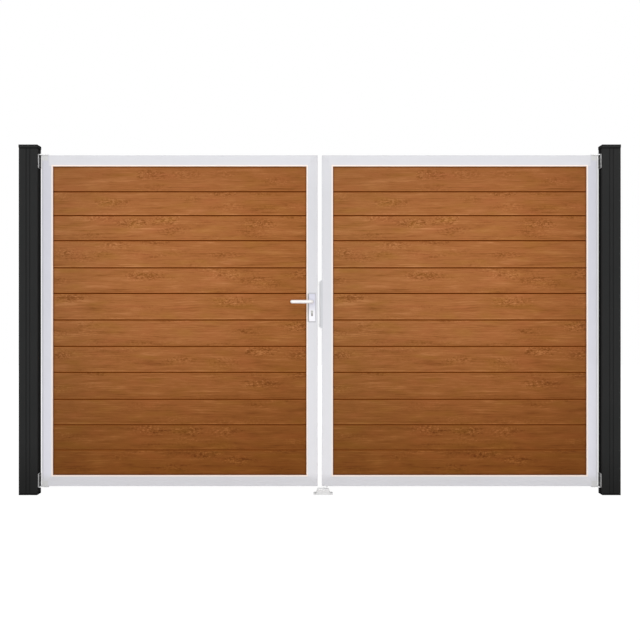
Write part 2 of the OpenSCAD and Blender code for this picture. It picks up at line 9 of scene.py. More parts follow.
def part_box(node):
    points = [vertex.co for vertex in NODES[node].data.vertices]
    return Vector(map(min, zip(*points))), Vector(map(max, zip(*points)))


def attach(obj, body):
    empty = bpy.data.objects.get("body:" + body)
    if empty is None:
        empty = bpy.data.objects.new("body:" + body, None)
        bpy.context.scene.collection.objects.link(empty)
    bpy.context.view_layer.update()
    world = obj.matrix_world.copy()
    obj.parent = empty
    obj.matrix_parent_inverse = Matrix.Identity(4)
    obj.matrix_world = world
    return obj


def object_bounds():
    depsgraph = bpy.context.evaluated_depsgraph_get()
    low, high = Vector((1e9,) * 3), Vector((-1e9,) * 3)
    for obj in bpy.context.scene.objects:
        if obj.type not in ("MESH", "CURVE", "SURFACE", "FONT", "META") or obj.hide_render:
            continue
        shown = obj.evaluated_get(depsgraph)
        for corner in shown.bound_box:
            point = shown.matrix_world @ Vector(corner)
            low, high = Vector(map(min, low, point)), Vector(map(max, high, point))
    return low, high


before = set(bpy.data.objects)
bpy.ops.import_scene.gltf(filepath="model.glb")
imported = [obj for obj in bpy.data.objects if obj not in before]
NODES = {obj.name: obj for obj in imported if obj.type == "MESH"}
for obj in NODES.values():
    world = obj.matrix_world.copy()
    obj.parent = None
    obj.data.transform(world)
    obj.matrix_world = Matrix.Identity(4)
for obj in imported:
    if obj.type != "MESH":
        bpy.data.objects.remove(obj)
cad_box = [list(corner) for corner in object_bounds()]

MILLIMETRE = 0.001
TURN = 2 * math.pi
SIDES = ("left", "right")


# ---- camera -----------------------------------------------------------------

GATE_MID_X = (cad_box[0][0] + cad_box[1][0]) / 2
EYE = (GATE_MID_X + 0.0015, -7.1, 0.949)
LENS_MM = 73.2
SENSOR_MM = 36


def make_camera():
    """Looks straight at the front, level, from the middle of the posts' height."""
    data = bpy.data.cameras.new("view_camera")
    data.lens = LENS_MM
    data.sensor_width = SENSOR_MM
    camera = bpy.data.objects.new("view_camera", data)
    camera.location = EYE
    camera.rotation_euler = (math.pi / 2, 0, 0)
    bpy.context.scene.collection.objects.link(camera)
    bpy.context.scene.camera = camera
    bpy.context.scene.view_settings.view_transform = "Standard"


make_camera()


# ---- shader maths -----------------------------------------------------------

def linear(red, green, blue):
    """An on-screen colour from 0 to 255 as the linear values that a shader takes."""
    def channel(value):
        c = value / 255
        return c / 12.92 if c <= 0.04045 else ((c + 0.055) / 1.055) ** 2.4
    return (channel(red), channel(green), channel(blue), 1.0)


def grey(value):
    return linear(value, value, value)


def dimmed(colour, red, green, blue):
    """A linear colour with a share of each channel left."""
    return (colour[0] * red, colour[1] * green, colour[2] * blue, 1.0)


class Wire:
    """A node's output socket, on which sums and comparisons are written as on numbers."""

    def __init__(self, paint, socket):
        self.paint = paint
        self.socket = socket

    def _math(self, operation, *values):
        return self.paint.node("Math", {"operation": operation}, dict(enumerate(values)))

    def __add__(self, other):
        return self._math("ADD", self, other)

    __radd__ = __add__

    def __mul__(self, other):
        return self._math("MULTIPLY", self, other)

    __rmul__ = __mul__

    def __sub__(self, other):
        return self._math("SUBTRACT", self, other)

    def __rsub__(self, other):
        return self._math("SUBTRACT", other, self)

    def __truediv__(self, other):
        return self._math("DIVIDE", self, other)

    def __rtruediv__(self, other):
        return self._math("DIVIDE", other, self)

    def __pow__(self, other):
        return self._math("POWER", self, other)

    def __rpow__(self, other):
        return self._math("POWER", other, self)

    def __abs__(self):
        return self._math("ABSOLUTE", self)

    def beside(self, output):
        """Another output of the same node."""
        return Wire(self.paint, self.socket.node.outputs[output])

    def least(self, other):
        return self._math("MINIMUM", self, other)

    def most(self, other):
        return self._math("MAXIMUM", self, other)

    def ramp(self, low, high):
        """0 at low, 1 at high, smooth between them and level beyond them."""
        return self.paint.node("MapRange", {"interpolation_type": "SMOOTHSTEP"},
                               {"Value": self, "From Min": low, "From Max": high})


class Paint:
    """The nodes of one material or world."""

    def __init__(self, owner):
        self.owner = owner
        owner.use_nodes = True
        self.tree = owner.node_tree

    def node(self, kind, settings=None, inputs=None, output=0):
        made = self.tree.nodes.new("ShaderNode" + kind)
        for key, value in (settings or {}).items():
            setattr(made, key, value)
        for key, value in (inputs or {}).items():
            self.feed(made.inputs[key], value)
        return Wire(self, made.outputs[output])

    def feed(self, socket, value):
        if isinstance(value, Wire):
            self.tree.links.new(value.socket, socket)
        else:
            socket.default_value = value

    def place(self):
        return self.node("TexCoord", output="Object")

    def axes(self):
        x = self.node("SeparateXYZ", None, {0: self.place()})
        return x, x.beside("Y"), x.beside("Z")

    def stretched(self, axes, scales, shift=0.0, lift=0.0):
        """A place for a pattern: each axis at its own scale, then moved along X and along Z."""
        x, y, z = (axis * scale for axis, scale in zip(axes, scales))
        return self.node("CombineXYZ", None, {0: x + shift, 1: y, 2: z + lift})

    def noise(self, place, scale, detail=3.0, roughness=0.55, distortion=0.0):
        return self.node("TexNoise", None,
                         {"Vector": place, "Scale": scale, "Detail": detail,
                          "Roughness": roughness, "Distortion": distortion})

    def random(self, seed):
        return self.node("TexWhiteNoise", {"noise_dimensions": "1D"}, {"W": seed})

    def mix(self, factor, first, second, blend="MIX"):
        return self.node("Mix", {"data_type": "RGBA", "blend_type": blend},
                         {0: factor, 6: first, 7: second}, 2)

    def bump(self, height, distance, strength=1.0):
        return self.node("Bump", None,
                         {"Height": height, "Distance": distance, "Strength": strength})

    def output(self, shader):
        outlet = next(n for n in self.tree.nodes if n.type.startswith("OUTPUT"))
        self.feed(outlet.inputs["Surface"], shader)

    def seen(self):
        """1 for rays from the camera, or by way of gloss or glass, and 0 for other light."""
        rays = [self.node("LightPath", output="Is %s Ray" % kind)
                for kind in ("Camera", "Glossy", "Transmission")]
        return rays[0].most(rays[1]).most(rays[2])


class Finish(Paint):
    """A material's nodes, with its Principled shader."""

    def __init__(self, name):
        super().__init__(bpy.data.materials.new(name))
        self.shader = self.tree.nodes["Principled BSDF"]

    def set(self, **sockets):
        """Base_Color stands for the shader's Base Color socket, and so on."""
        for name, value in sockets.items():
            self.feed(self.shader.inputs[name.replace("_", " ")], value)
        return self.owner


# ---- oak boards -------------------------------------------------------------

BOARD_COVER = 140 * MILLIMETRE
JOINT_SHIFTS = (-4, -7, -8, -1, 0.5, 4, 8.5, 8, 16, 12.5, 2.5)  # mm off even spacing, lowest first
FRAME_COVERS = 0.0144    # how far the frame hides the boards
JOINT_HALF = 0.0026

OAK_DARK = linear(120, 68, 29)
OAK_MID = linear(155, 97, 53)
OAK_LIGHT = linear(186, 125, 80)
OAK_BOARD_TONE = linear(150, 92, 46)
OAK_RUDDY = linear(168, 98, 60)
OAK_OLIVE = linear(150, 104, 42)
OAK_PORE = linear(98, 54, 24)
# painted shade on the boards under the top rail
OAK_SHADE_UNDER_RAIL = linear(120, 70, 34)
# painted shade on the boards beside the frame
OAK_FRAME_SHADE = linear(66, 36, 16)
# painted highlight on the board edges beside each joint
SEAM_HIGHLIGHT = linear(186, 124, 80)
# painted shadow in the gap between boards
SEAM_SHADOW = linear(92, 38, 2)

# Multiplied over the wood
HINGE_END_SHADE = (0.85, 0.86, 0.86, 1.0)
LOCK_END_SHADE = (0.93, 0.95, 0.93, 1.0)
LEFT_END_TINT = (0.98, 1.0, 1.0, 1.0)
RIGHT_END_TINT = (0.95, 0.90, 0.80, 1.0)
FOOT_TINT = linear(177, 159, 72)
# warm tint of the painted shadow between boards
SEAM_SHADOW_TINT = (1.0, 0.88, 0.45, 1.0)

# Patterns' scales along a board, through it and up it
FLOW_SCALE = (2.6, 1.0, 11.0)
PATCH_SCALE = (5.5, 1.0, 30.0)
STREAK_SCALE = (3.4, 3.0, 230.0)
FINE_SCALE = (22.0, 22.0, 900.0)
KNOT_SCALE = (4.6, 0.0, 17.0)
SWIRL_SCALE = (62.0, 1.0, 130.0)
WARM_SCALE = (5.0, 1.0, 17.0)
WARM_SHIFT = 3.0
GRAIN_BEND = 0.035
SWIRL_MEAN = 0.54

# How much each pattern counts in the grain
PATCH_SHARE = 0.75
STREAK_SHARE = 1.05
FINE_SHARE = 0.65
KNOT_SHARE = 2.2

# Long bands: a pale one, and a dark one BAND_GAP of a board lower. On every second board they
# lie PALE_DROP lower and show more.
PALE_RISE = 0.67
PALE_DROP = 0.27
BAND_GAP = 0.30
PALE_SHARE, PALE_SHARE_MORE = 0.022, 0.018
DARK_SHARE, DARK_SHARE_MORE = 0.026, 0.014
# painted highlight along the lower edge of every second board
EDGE_HIGHLIGHT_SHARE = 0.16


def find_board(paint, z, foot):
    """Which board a height is on, how far up that board, and how far from the nearest joint.
    The joints are where the part sets them, off their even spacing."""
    board = 0.0
    to_joint = 1.0
    rise = (z - foot) / BOARD_COVER
    for k, shift in enumerate(JOINT_SHIFTS):
        joint = foot + FRAME_COVERS + (k + 1) * BOARD_COVER + shift * MILLIMETRE
        above = paint.node("Math", {"operation": "GREATER_THAN"}, {0: z, 1: joint})
        board = above + board
        from_joint = z - joint
        rise = paint.node("Mix", {"data_type": "FLOAT"},
                          {0: above, 2: rise, 3: from_joint / BOARD_COVER})
        to_joint = abs(from_joint).least(to_joint)
    return board, rise, to_joint


def knots(paint, place, shift, rise):
    """Small knots and burrs, above and below 0, most of them in a board's upper half."""
    at = paint.stretched(place, KNOT_SCALE, shift, shift)
    spot = paint.node("TexVoronoi", {"feature": "F1"}, {"Vector": at, "Scale": 1.0})
    chosen = paint.node("SeparateXYZ", None, {0: spot.beside("Color")}).ramp(0.2, 0.7)
    near = (1 - spot.ramp(0.15, 0.75)) * chosen * (0.4 + 0.6 * rise.ramp(0.3, 0.6))
    swirl = paint.noise(paint.stretched(place, SWIRL_SCALE, shift, shift), 1.0, 2.0, 0.5, 1.0)
    return (swirl - SWIRL_MEAN) * near


def long_bands(paint, board, rise):
    """Soft bands that run the whole length of a board, and a painted highlight along every second
    board's lower edge.
    """
    odd = paint.node("Math", {"operation": "MODULO"}, {0: board, 1: 2.0})
    pale_rise = PALE_RISE - PALE_DROP * odd
    pale = 1 - abs(rise - pale_rise).ramp(0.04, 0.17)
    dark = 1 - abs(rise - pale_rise + BAND_GAP).ramp(0.04, 0.15)
    # painted highlight along the board's lower edge
    edge_highlight = (1 - odd) * rise.ramp(0.10, 0.05)
    return (pale * (PALE_SHARE + PALE_SHARE_MORE * odd)
            - dark * (DARK_SHARE + DARK_SHARE_MORE * odd) + edge_highlight * EDGE_HIGHLIGHT_SHARE)


def oak_board(name, node):
    """Golden oak print: long grain, fine pores and small knots, each board a length of its own.
    It darkens towards the foot; painted shade darkens it towards the ends, beside the frame,
    under the top rail and in the seams, and painted highlights run beside the seams."""
    paint = Finish(name)
    low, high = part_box(node)
    x, y, z = paint.axes()
    along = x - low[0]
    board, rise, to_joint = find_board(paint, z, low[2])
    shift = paint.random(board + 0.5) * 7.0
    tone = paint.random(board + 20.5)

    place = (along, y, z)
    flow = paint.noise(paint.stretched(place, FLOW_SCALE, shift, shift), 1.0, 3.0)
    bent = (along, y, z + (flow - 0.5) * GRAIN_BEND)
    patches = paint.noise(paint.stretched(bent, PATCH_SCALE, shift, shift), 1.0, 2.0)
    streaks = paint.noise(paint.stretched(bent, STREAK_SCALE, shift, shift), 1.0, 3.0, 0.65)
    fine = paint.noise(paint.stretched(bent, FINE_SCALE, shift), 1.0, 3.0, 0.6)
    grain = ((patches - 0.5) * PATCH_SHARE + (streaks - 0.5) * STREAK_SHARE
             + (fine - 0.5) * FINE_SHARE + knots(paint, place, shift, rise) * KNOT_SHARE
             + long_bands(paint, board, rise) + 0.5)

    wood = paint.mix(grain.ramp(0.1, 0.5), OAK_DARK, OAK_MID)
    wood = paint.mix(grain.ramp(0.5, 0.9), wood, OAK_LIGHT)
    wood = paint.mix(tone * 0.15, wood, OAK_BOARD_TONE)
    warm = paint.noise(paint.stretched(place, WARM_SCALE, WARM_SHIFT), 1.0, 1.0)
    wood = paint.mix(warm.ramp(0.5, 0.75) * 0.3, wood, OAK_RUDDY)
    wood = paint.mix(warm.ramp(0.5, 0.25) * 0.3, wood, OAK_OLIVE)
    pores = (1 - fine.ramp(0.3, 0.42)) * (0.4 + 0.6 * streaks)
    wood = paint.mix(pores * 0.35, wood, OAK_PORE)

    across = along / (high[0] - low[0])
    hinge_end = 0.0 if node.startswith("left") else 1.0
    from_hinge = abs(across - hinge_end)
    height = (z - low[2]) / (high[2] - low[2])
    wood = paint.mix(from_hinge.ramp(0.35, -0.10), wood, HINGE_END_SHADE, "MULTIPLY")
    wood = paint.mix(from_hinge.ramp(0.55, 1.0), wood, LOCK_END_SHADE, "MULTIPLY")
    wood = paint.mix(across.ramp(0.5, 0.0), wood, LEFT_END_TINT, "MULTIPLY")
    wood = paint.mix(across.ramp(0.5, 1.0), wood, RIGHT_END_TINT, "MULTIPLY")
    wood = paint.mix(height.ramp(0.65, -0.15) * 0.86, wood, FOOT_TINT, "MULTIPLY")
    # painted shade under the top rail
    wood = paint.mix(height.ramp(0.82, 1.0) * 0.27, wood, OAK_SHADE_UNDER_RAIL)

    # painted highlight on the board edges beside each joint
    seam_highlight = 1 - to_joint.ramp(JOINT_HALF, 3 * JOINT_HALF)
    # painted shadow in the gaps between boards, warmer round its edges
    beside_seam = 1 - to_joint.ramp(JOINT_HALF, 2.5 * JOINT_HALF)
    seam = 1 - to_joint.ramp(JOINT_HALF, 1.6 * JOINT_HALF)
    seam_shows = 0.47 + 0.36 * height.ramp(0.06, 0.14) + 0.12 * height.ramp(0.45, 0.55)
    wood = paint.mix(seam_highlight * 0.25, wood, SEAM_HIGHLIGHT)
    wood = paint.mix(beside_seam, wood, SEAM_SHADOW_TINT, "MULTIPLY")
    wood = paint.mix(seam * seam_shows, wood, SEAM_SHADOW)

    mid = (low + high) / 2
    half = (high - low) / 2
    from_side = (half[0] - FRAME_COVERS) - abs(x - mid[0])
    from_end = (half[2] - FRAME_COVERS) - abs(z - mid[2])
    # painted shade where the frame's recess meets the boards
    at_frame = 1 - from_side.least(from_end).ramp(0.002, 0.013)
    wood = paint.mix(at_frame * 0.45, wood, OAK_FRAME_SHADE)
    relief = paint.bump(streaks * 0.5 + fine * 0.5 - pores * 0.6, 0.35 * MILLIMETRE, 0.6)
    return paint.set(Base_Color=wood, Roughness=0.5 + 0.16 * fine, Normal=relief,
                     Specular_IOR_Level=0.1)


# ---- metals and coats -------------------------------------------------------

GROOVE_PITCH = 0.020
GROOVE_HALF = 0.0026
CAP_SHADOW = 0.006       # height of the shadow under a cap
COAT_DARK = linear(40, 41, 41)
COAT_PALE = linear(46, 46, 46)
COAT_GROOVE_SHADE = grey(20)
# painted shade in the gap beside the leaf, and painted light towards the front and back
COAT_GAP_SHADING = (grey(25), grey(50))
# painted shadow under the cap
COAT_CAP_SHADOW = grey(18)
# painted shade towards the ground, and a painted contact shadow at it
COAT_LOW_SHADE = grey(27)
COAT_GROUND_SHADOW = grey(12)


def anthracite_coat():
    """Fine-textured powder coat on the posts, with painted shade in the grooves, under the cap and
    towards the ground, and painted light and shade on the inner side beside the leaf."""
    paint = Finish("anthracite_coat")
    post_low, post_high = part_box("left_post")
    cap_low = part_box("left_post_cap")[0]
    grit = paint.noise(paint.place(), 1400.0, 2.0)
    cloud = paint.noise(paint.place(), 3.0, 3.0)
    x, y, z = paint.axes()
    across = (GATE_MID_X - (post_low[0] + post_high[0]) / 2) - abs(x - GATE_MID_X)
    shade = paint.mix(cloud, COAT_DARK, COAT_PALE)

    # painted shade in the posts' grooves
    groove, side_groove = (
        1 - abs(abs(axis) - GROOVE_PITCH / 2).ramp(GROOVE_HALF, 1.2 * GROOVE_HALF)
        for axis in (across, y))
    below_cap = z.ramp(cap_low[2] + 0.5 * MILLIMETRE, cap_low[2])
    shade = paint.mix(groove.most(side_groove) * below_cap * 0.4, shade, COAT_GROOVE_SHADE)
    # painted light and shade on the post's inner side: dark in the gap beside the leaf, lighter
    # beyond it
    inner_side = across.ramp(post_high[0] - 0.5 * MILLIMETRE, post_high[0] - 0.2 * MILLIMETRE)
    gap_shading = paint.mix(abs(y).ramp(0.006, 0.020), *COAT_GAP_SHADING)
    shade = paint.mix(inner_side * below_cap, shade, gap_shading)
    # painted shadow under the cap
    under_cap_shadow = (z.ramp(cap_low[2] - 1.2 * CAP_SHADOW, cap_low[2] - CAP_SHADOW)
                 * z.ramp(cap_low[2] + 1.2 * MILLIMETRE, cap_low[2] + MILLIMETRE))
    shade = paint.mix(under_cap_shadow * 0.6, shade, COAT_CAP_SHADOW)
    # painted shade towards the ground
    shade = paint.mix((1 - z.ramp(0.0, 0.3)) * 0.5, shade, COAT_LOW_SHADE)
    # painted contact shadow at the ground
    shade = paint.mix((1 - z.ramp(0.006, 0.014)) * 0.7, shade, COAT_GROUND_SHADOW)
    return paint.set(Base_Color=shade, Roughness=0.72 + 0.14 * grit,
                     Normal=paint.bump(grit, 0.12 * MILLIMETRE, 0.5), Specular_IOR_Level=0.0)


FRAME_MEMBERS = ("_top_rail", "_bottom_rail", "_lock_stile", "_hinge_stile")
FRAME_W = 0.060
LIP_BAND = 0.0064
MITRE_LINE = 0.0004
OUTER_SHADE_IN = 0.007    # a faint painted shade line this far inside the hinge stile's outer edge
PLATE_SHADE = 0.011      # how far the shade round the handle plate reaches


def silver(tone, blue=4):
    """A grey with a little more blue."""
    return linear(tone, tone, tone + blue)


# Tones at the foot and the head: painted light and shade makes the stiles darker towards their
# heads and the top rail lighter than the bottom rail
LOCK_STILE_SHADED_TONES = (silver(222), silver(207))
HINGE_STILE_SHADED_TONES = (silver(219, 8), silver(199, 8))
RAIL_SHADED_TONES = (silver(206), silver(211))
# duller tone for the coat's clouds, and for the painted shade line on the hinge stile
SILVER_CLOUD_AND_SHADE = silver(190)
SILVER_FLECK = silver(236)
# painted highlight along the frame's inner lip
LIP_HIGHLIGHT = linear(246, 230, 218)
MITRE_DARK = grey(130)
# painted shadow round the handle plate
PLATE_SHADOW_GREY = grey(120)


def handle_plate_shadow(x, z):
    """How far a painted shadow covers the stile round the handle plate: most on the lever's side.
    """
    low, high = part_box("front_handle_plate")
    over = (z - high[2]).most(low[2] - z)
    left = 1 - (low[0] - x).most(over * 3).ramp(0.0, PLATE_SHADE)
    around = 1 - ((x - high[0]) * 2).most(over).ramp(0.0, PLATE_SHADE)
    past_left_edge = (x - low[0]).ramp(0.0, MILLIMETRE)
    return left * (1 - past_left_edge) * 0.75 + around * past_left_edge * 0.32


def silver_frame(side):
    """Silver coat on a leaf's frame: rails and stiles of slightly different tone that run into
    each other, with painted light and shade that changes from foot to head, a light fleck, a
    painted highlight on the inner lip, a painted shade line on the hinge stile, hairline mitres
    and, on the left leaf, a painted shadow round the handle plate."""
    paint = Finish("silver_" + side)
    members = [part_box(side + member) for member in FRAME_MEMBERS]
    low = Vector(min(box[0][axis] for box in members) for axis in range(3))
    high = Vector(max(box[1][axis] for box in members) for axis in range(3))
    mid = (low + high) / 2
    half = (high - low) / 2
    x, _, z = paint.axes()
    height = (z - low[2]) / (high[2] - low[2])
    from_side = half[0] - abs(x - mid[0])
    from_end = half[2] - abs(z - mid[2])
    from_top = high[2] - z
    from_bottom = z - low[2]
    leaf_mid = abs(mid[0] - GATE_MID_X)
    to_post = abs(x - GATE_MID_X).ramp(leaf_mid - MILLIMETRE, leaf_mid)

    # painted light and shade from foot to head
    stile = paint.mix(to_post, paint.mix(height.ramp(0.0, 1.0), *LOCK_STILE_SHADED_TONES),
                      paint.mix(height.ramp(0.0, 1.0), *HINGE_STILE_SHADED_TONES))
    rail = paint.mix(height.ramp(0.4, 0.6), *RAIL_SHADED_TONES)
    head = ((1 - from_top.ramp(0.9 * FRAME_W, FRAME_W))
            * from_side.ramp(0.55 * FRAME_W, 0.75 * FRAME_W))
    foot = (1 - from_bottom.ramp(0.5 * FRAME_W, 1.25 * FRAME_W)).most(
        from_side.ramp(0.75 * FRAME_W, FRAME_W)
        * (1 - from_bottom.ramp(FRAME_W, 1.1 * FRAME_W)))
    shade = paint.mix(head.most(foot), stile, rail)

    fleck = paint.noise(paint.place(), 2600.0, 1.0)
    cloud = paint.noise(paint.place(), 2.2, 3.0)
    shade = paint.mix(cloud.ramp(0.5, 0.3) * 0.15, shade, SILVER_CLOUD_AND_SHADE)
    shade = paint.mix(fleck.ramp(0.55, 0.75) * 0.25, shade, SILVER_FLECK)
    # painted shade line along the hinge stile's outer edge
    outer_shade = 1 - abs(from_side - OUTER_SHADE_IN).ramp(0.002, 0.004)
    shade = paint.mix(outer_shade * to_post * 0.5, shade, SILVER_CLOUD_AND_SHADE)
    inward = from_side.least(from_end)
    # painted highlight along the frame's inner lip
    lip = inward.ramp(FRAME_W - 1.4 * LIP_BAND, FRAME_W - 0.9 * LIP_BAND)
    shade = paint.mix(lip * 0.9, shade, LIP_HIGHLIGHT)
    mitre = abs(from_side - from_end).ramp(2 * MITRE_LINE, MITRE_LINE)
    shade = paint.mix(mitre * 0.25, shade, MITRE_DARK)
    # painted shadow round the handle plate on the left leaf
    if side == "left":
        shade = paint.mix(handle_plate_shadow(x, z), shade, PLATE_SHADOW_GREY)
    return paint.set(Base_Color=shade, Metallic=0.35, Roughness=0.5 + 0.1 * fleck,
                     Normal=paint.bump(fleck, 0.05 * MILLIMETRE, 0.35))


LINES_ACROSS = 900.0     # pattern scale across brushed lines, and along them
LINES_ALONG = 12.0


def worked_metal(name, colour, roughness, metallic, brushed_axis=None, shade_heights=None):
    """Metal with a soft uneven sheen. It may be brushed along one axis, and painted shade darkens
    it the nearer it gets to the second of two heights."""
    paint = Finish(name)
    axes = paint.axes()
    scales = [LINES_ACROSS] * 3
    if brushed_axis is not None:
        scales[brushed_axis] = LINES_ALONG
    lines = paint.noise(paint.stretched(axes, scales), 1.0, 2.0)
    cloud = paint.noise(paint.place(), 9.0, 3.0)
    shade = paint.mix(cloud * 0.5 + lines * 0.5, dimmed(colour, 0.88, 0.88, 0.88), colour)
    # painted shade, darker from the first height up to the second
    if shade_heights:
        shade = paint.mix(axes[2].ramp(*shade_heights) * 0.72, shade, dimmed(colour, 0.6, 0.6, 0.68))
    return paint.set(Base_Color=shade, Metallic=metallic, Roughness=roughness + 0.1 * lines,
                     Normal=paint.bump(lines, 0.04 * MILLIMETRE, 0.5))


NYLON_TONES = (grey(26), grey(40))


def black_nylon():
    """Moulded nylon of the pivot bushes, with a fine grit."""
    paint = Finish("black_nylon")
    grit = paint.noise(paint.place(), 600.0, 2.0)
    return paint.set(Base_Color=paint.mix(grit, *NYLON_TONES), Roughness=0.5 + 0.1 * grit,
                     Normal=paint.bump(grit, 0.05 * MILLIMETRE, 0.5))


KEY_SLOT_HALF = (0.0016, 0.0050)     # half its width, and half its height
NICKEL_TONES = (linear(212, 211, 208), linear(232, 232, 231))
NICKEL_BELOW_PLUG = linear(158, 156, 153)
# painted shadow inside the key slot
SLOT_SHADOW = grey(26)


def nickel_cylinder():
    """Nickelled lock cylinder: painted shadow in the key slot, and darker below the plug."""
    paint = Finish("nickel_cylinder")
    low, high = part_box("lock_cylinder")
    plug_r = (high[0] - low[0]) / 2
    plug_z = high[2] - plug_r
    x, _, z = paint.axes()
    slot_x, slot_z = KEY_SLOT_HALF
    slot = ((1 - abs(x - (low[0] + plug_r)).ramp(slot_x, 1.2 * slot_x))
            * (1 - abs(z - plug_z).ramp(slot_z, 1.1 * slot_z)))
    lines = paint.noise(paint.place(), 700.0, 2.0)
    shade = paint.mix(lines, *NICKEL_TONES)
    # darker below the plug
    shade = paint.mix(z.ramp(plug_z - 0.8 * plug_r, plug_z - plug_r), shade, NICKEL_BELOW_PLUG)
    # painted shadow inside the key slot
    shade = paint.mix(slot, shade, SLOT_SHADOW)
    return paint.set(Base_Color=shade, Metallic=0.4, Roughness=0.4 + 0.1 * lines,
                     Normal=paint.bump(lines, 0.03 * MILLIMETRE, 0.4))


CASTING_TONES = (grey(206), grey(220))
# painted light on the stop's top, against the leaf's shadow
STOP_TOP_LIGHT = grey(255)


def cast_stop():
    """Ground stop of bright casting, with painted light that makes its top pale."""
    paint = Finish("cast_stop")
    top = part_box("ground_stop")[1][2]
    z = paint.axes()[2]
    grain = paint.noise(paint.place(), 420.0, 3.0)
    # painted light on the stop's top, which lies in the leaf's shadow
    top_light = z.ramp(top - 1.6 * MILLIMETRE, top - 0.4 * MILLIMETRE)
    shade = paint.mix(top_light, paint.mix(grain, *CASTING_TONES), STOP_TOP_LIGHT)
    return paint.set(Base_Color=shade, Metallic=0.0, Roughness=0.5 + 0.15 * grain,
                     Normal=paint.bump(grain, 0.1 * MILLIMETRE, 0.4))


HINGE_PLATE_T = 0.006
BARE_EDGE_TONES = (grey(176), grey(190))
ARM_TONES = (grey(236), grey(250))
# dark coat of the plate's face, with the shade of the gap beside the leaf painted in
PLATE_COAT_AND_SHADE = grey(34)


def hinge_bracket(name):
    """Bracket on a post: pale pivot arm, and a plate with a dark coat inside bare edges, the gap's
    shade painted into the coat.
    """
    paint = Finish(name)
    post_face = GATE_MID_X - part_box("left_post")[1][0]
    x = paint.axes()[0]
    past_plate = post_face - abs(x - GATE_MID_X) - HINGE_PLATE_T
    grain = paint.noise(paint.place(), 700.0, 2.0)
    on_arm = past_plate.ramp(0.2 * MILLIMETRE, 0.4 * MILLIMETRE)
    shade = paint.mix(on_arm, paint.mix(grain, *BARE_EDGE_TONES), paint.mix(grain, *ARM_TONES))
    # the plate's face: a dark coat with the gap's shade painted in
    on_face = past_plate.ramp(-1.0 * MILLIMETRE, -0.8 * MILLIMETRE)
    shade = paint.mix(on_face * (1 - on_arm), shade, PLATE_COAT_AND_SHADE)
    return paint.set(Base_Color=shade, Metallic=0.0, Roughness=0.5 + 0.15 * grain,
                     Normal=paint.bump(grain, 0.05 * MILLIMETRE, 0.4), Specular_IOR_Level=0.08)


KEEP_SHADED_TONES = (linear(238, 238, 239), linear(196, 197, 199))
KEEP_GRAIN = grey(180)


def keep_metal():
    """Cast keep body, with painted shade that deepens towards the leaf that carries it."""
    paint = Finish("keep_casting")
    low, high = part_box("keep_body")
    x = paint.axes()[0]
    grain = paint.noise(paint.place(), 500.0, 3.0)
    # painted shade across the keep, darker towards the leaf
    shade = paint.mix(x.ramp(low[0], high[0]), *KEEP_SHADED_TONES)
    shade = paint.mix(grain * 0.2, shade, KEEP_GRAIN)
    return paint.set(Base_Color=shade, Metallic=0.2, Roughness=0.5 + 0.1 * grain,
                     Normal=paint.bump(grain, 0.08 * MILLIMETRE, 0.4))


CAST_ALUMINIUM = grey(208)
ZINC_STEEL = linear(206, 207, 210)
KEEP_STEEL = linear(207, 208, 212)
SATIN_LEVER = linear(245, 244, 243)
SATIN_PLATE = linear(246, 246, 251)
PLATE_SHADE_HEIGHTS = (0.03, 0.11)          # heights over the handle plate's bottom edge, between which painted shade darkens the plate towards its top


def dress(material, *nodes):
    """Gives parts of the gate a material in place of their plain one."""
    for node in nodes:
        slots = NODES[node].data.materials
        slots.clear()
        slots.append(material)


def paint_nodes():
    """Dresses every part of the gate."""
    coat = anthracite_coat()
    cast = worked_metal("cast_aluminium", CAST_ALUMINIUM, 0.5, 0.3)
    zinc = worked_metal("zinc_steel", ZINC_STEEL, 0.4, 0.6)
    keep = worked_metal("keep_sheet", KEEP_STEEL, 0.45, 0.4)
    lever = worked_metal("satin_lever", SATIN_LEVER, 0.4, 0.15, brushed_axis=0)
    plate_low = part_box("front_handle_plate")[0]
    handle = worked_metal("satin_handle_plate", SATIN_PLATE, 0.4, 0.3, brushed_axis=2,
                          shade_heights=[plate_low[2] + rise for rise in PLATE_SHADE_HEIGHTS])
    nylon = black_nylon()
    for side in SIDES:
        dress(silver_frame(side), *(side + member for member in FRAME_MEMBERS))
        dress(coat, side + "_post", side + "_post_cap")
        dress(oak_board("oak_board_" + side, side + "_boards"), side + "_boards")
        dress(cast, side + "_pivot_blocks")
        dress(nylon, side + "_pivot_bushes")
        for level in ("_top_hinge", "_bottom_hinge"):
            dress(hinge_bracket("bracket_" + side + level), side + level)
    dress(cast_stop(), "ground_stop")
    dress(keep, "keep_plate")
    dress(keep_metal(), "keep_body")
    dress(zinc, "lock_case", "lock_forend", "latch_bolt", "dead_bolt",
          "drop_bolt_guides", "drop_bolt_rod", "drop_bolt_collar")
    dress(lever, "front_lever", "rear_lever", "lever_spindle")
    dress(handle, "front_handle_plate", "rear_handle_plate")
    dress(nickel_cylinder(), "lock_cylinder")


# ---- screws -----------------------------------------------------------------

HEAD_SIDES = 24
HEAD_TOP = 0.9           # a head's top, and its socket, as shares of its radius
SOCKET = 0.46
TAPER = 0.5              # the foot of a countersunk head, as a share of its radius

# In mm: a head's radius, how far it stands over its seat and how far it tapers below it
HINGE_SCREW = (5.4, 0.3, 2.1)
STOP_BOLT = (5.5, 3.2, 0)
FOREND_SCREW = (3.9, 0.4, 1.3)
KEEP_SCREW = (4.2, 0.5, 0)
DROP_BOLT_SCREW = (3.4, 1.8, 0)
PLATE_SCREW = (4.0, 0.5, 0)


def push_face(mesh, face, rise):
    """Moves a face up or down and closes the sides behind it. Returns the moved face's points."""
    made = bmesh.ops.extrude_face_region(mesh, geom=[face])["geom"]
    mesh.faces.remove(face)
    points = [g for g in made if isinstance(g, bmesh.types.BMVert)]
    bmesh.ops.translate(mesh, verts=points, vec=(0, 0, rise))
    return points


